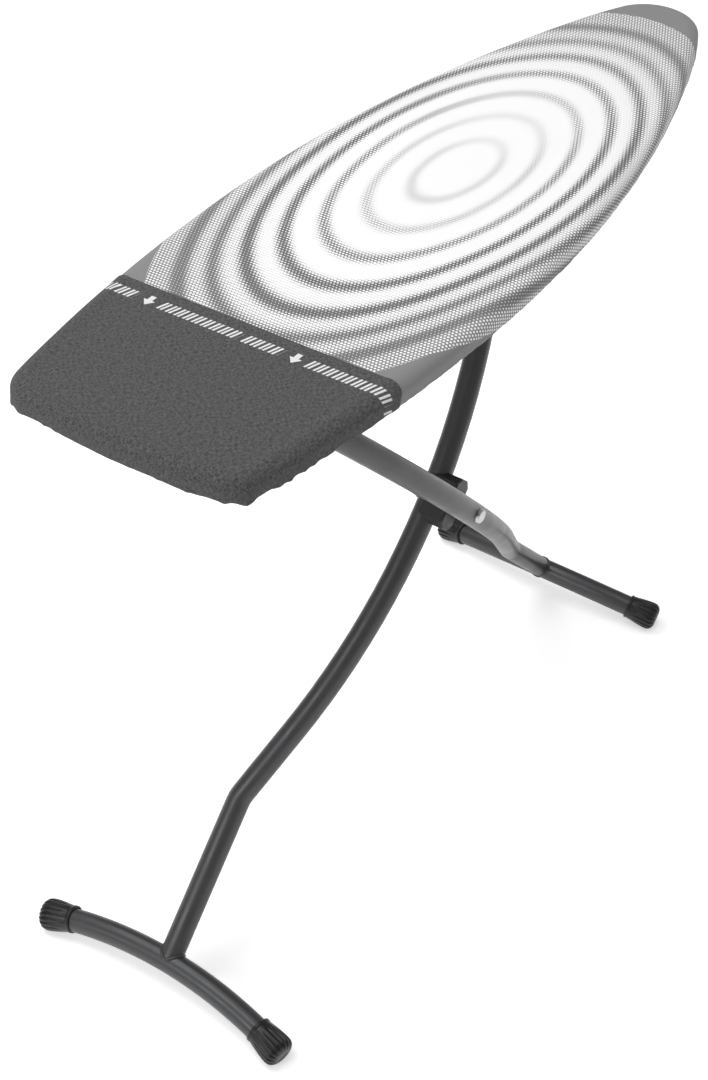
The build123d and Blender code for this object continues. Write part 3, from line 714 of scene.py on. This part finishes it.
# ---------------------------------------------------------------- feet
leg_slope = math.radians(46.66)
foot_radius = 0.742         # of the arched foot bars
foot_rise = 0.034
foot_half_span = 0.205
leg_radius = 0.0175
lower_arm = 0.8043          # leg pivot to the foot line
pivot = Vector(next(j["pos_m"] for j in frame["joints"] if j["name"] == "leg_cross"))


def leg_frame(sign):
    """The foot line's middle, and the direction up the leg, of leg A (1) or leg B (-1)."""
    up_leg = Vector((sign * math.cos(leg_slope), 0.0, math.sin(leg_slope)))
    return pivot - up_leg * lower_arm, up_leg


def cap_rows():
    """A foot cap's rows as (along its axis, radius, flute depth), from the bore's end to the outer end."""
    rows = [    # in millimetres
        (-1, 0.01, 0), (-1, 17.7, 0), (-38, 17.7, 0), (-38, 19.4, 0), (-37.2, 20.6, 0),
        (-34, 20.8, 0), (-33, 20.1, 0), (-31.5, 20.2, 0), (-27, 20.8, 0), (-23, 21.4, 0.3),
        (-18, 22.1, 1.3), (-10, 23.2, 2.3), (-2, 24.0, 2.6), (4, 24.2, 2.7), (8, 23.6, 2.7),
        (11.5, 21.9, 2.5), (14, 19.4, 2.2), (15.8, 16.2, 1.7), (16.6, 13.0, 1.0),
        (16.9, 10.4, 0.2), (16.4, 9.2, 0), (16.4, 0.01, 0),
    ]
    return [tuple(value / 1000 for value in row) for row in rows]


def make_cap(name, leg, side, sign):
    """Fluted rubber cap on a foot bar's end, flat where it stands."""
    middle, up_leg = leg_frame(sign)
    lean = math.asin(foot_half_span / foot_radius)
    end_up = foot_rise - foot_radius * (1 - math.cos(lean))
    across = Vector((0.0, side, 0.0))
    end = middle + up_leg * end_up + across * foot_half_span
    axis = across * math.cos(lean) - up_leg * math.sin(lean)
    first = axis.orthogonal().normalized()
    second = axis.cross(first)
    flutes, steps, sharpness = 18, 180, 2.2
    vertices = []
    rows = cap_rows()
    for along, radius, depth in rows:
        for i in range(steps):
            angle = 2 * math.pi * i / steps
            valley = (0.5 + 0.5 * math.cos(flutes * angle)) ** sharpness
            size = radius - depth * valley
            point = end + axis * along + (first * math.cos(angle) + second * math.sin(angle)) * size
            point.z = max(point.z, 0.0)
            vertices.append(point)
    cap = new_object(name + "_fluted", vertices, grid_faces(len(rows), steps), "black_rubber", leg)
    clean(cap, merge=same_point)
    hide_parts(name)


def make_weld(leg, sign):
    """Painted weld bead where a leg tube meets its foot bar."""
    middle, up_leg = leg_frame(sign)
    across = Vector((0.0, 1.0, 0.0))
    normal = up_leg.cross(across)
    steps, bead, clearance = 72, 0.0023, 0.004
    path = []
    for i in range(steps):
        angle = 2 * math.pi * i / steps
        width, height = leg_radius * math.cos(angle), leg_radius * math.sin(angle)
        reach = foot_rise + math.sqrt(max(leg_radius ** 2 - height ** 2, 0.0) + clearance ** 2)
        path.append(middle + up_leg * reach + across * width + normal * height)
    tube(leg + "_weld", path, bead, "leg_paint", leg, sides=10, closed=True)


# ---------------------------------------------------------------- floor, light, camera
def make_floor():
    bpy.ops.mesh.primitive_plane_add(size=40, location=(0, 0, -0.0005))
    floor = bpy.context.object
    floor.name = "floor"
    shader = Shader("pale_floor", Roughness=0.9, Specular_IOR_Level=0.1)
    cloud = shader.noise(shader.place(), 0.4, 1.0)
    shader.link("Base Color", shader.mix(cloud, (0.93, 0.93, 0.93), (0.95, 0.95, 0.95)))
    shader.surface.inputs["Emission Color"].default_value = (1.0, 1.0, 1.0, 1.0)
    shader.surface.inputs["Emission Strength"].default_value = 0.50
    floor.data.materials.append(shader.material)


def make_world():
    """White surroundings that light softly, and look as pale as the far floor where they are seen."""
    world = bpy.data.worlds.new("studio")
    bpy.context.scene.world = world
    world.use_nodes = True
    tree = world.node_tree
    light, seen = tree.nodes["Background"], tree.nodes.new("ShaderNodeBackground")
    for background, strength in ((light, 0.30), (seen, 0.78)):
        background.inputs["Color"].default_value = (1.0, 1.0, 1.0, 1.0)
        background.inputs["Strength"].default_value = strength
    either = tree.nodes.new("ShaderNodeMixShader")
    path = tree.nodes.new("ShaderNodeLightPath")
    tree.links.new(path.outputs["Is Camera Ray"], either.inputs[0])
    tree.links.new(light.outputs[0], either.inputs[1])
    tree.links.new(seen.outputs[0], either.inputs[2])
    tree.links.new(either.outputs[0], tree.nodes["World Output"].inputs["Surface"])


def make_lights():
    for name, place, size, power in (
        ("top", (-0.3, 0.9, 4.4), 3.4, 128.0),
        ("left", (-3.9, 1.0, 2.2), 1.6, 34.0),
        ("right", (3.4, -2.6, 2.4), 1.6, 9.0),
    ):
        light = bpy.data.lights.new(name, "AREA")
        light.size = size
        light.energy = power
        lamp = bpy.data.objects.new(name, light)
        lamp.location = place
        aim = Vector((0, 0, 0.6)) - Vector(place)
        lamp.rotation_euler = aim.to_track_quat("-Z", "Y").to_euler()
        bpy.context.scene.collection.objects.link(lamp)
    bpy.context.scene.view_settings.view_transform = "Standard"


def make_camera():
    azimuth, elevation, roll = (math.radians(a) for a in (-55.554, 40.499, -0.467))
    back = Vector((
        math.sin(azimuth) * math.cos(elevation),
        -math.cos(azimuth) * math.cos(elevation),
        math.sin(elevation),
    ))
    right = (-back).cross(Vector((0, 0, 1))).normalized()
    down = (-back).cross(right)
    turned_right = math.cos(roll) * right + math.sin(roll) * down
    turned_down = math.cos(roll) * down - math.sin(roll) * right
    data = bpy.data.cameras.new("camera")
    data.lens, data.sensor_width = 66.06, 36.0
    data.clip_end = 60.0
    camera = bpy.data.objects.new("camera", data)
    columns = Matrix((turned_right, -turned_down, back)).transposed()
    camera.matrix_world = Matrix.Translation((-1.9637, -1.2265, 2.3723)) @ columns.to_4x4()
    bpy.context.scene.collection.objects.link(camera)
    bpy.context.scene.camera = camera


make_underlay()
make_covers()
make_plate()
make_spring()
for leg_name, leg_sign in (("leg_a", 1), ("leg_b", -1)):
    make_cap(leg_name + "_cap_left", leg_name, 1, leg_sign)
    make_cap(leg_name + "_cap_right", leg_name, -1, leg_sign)
    make_weld(leg_name, leg_sign)
make_floor()
make_world()
make_lights()
make_camera()
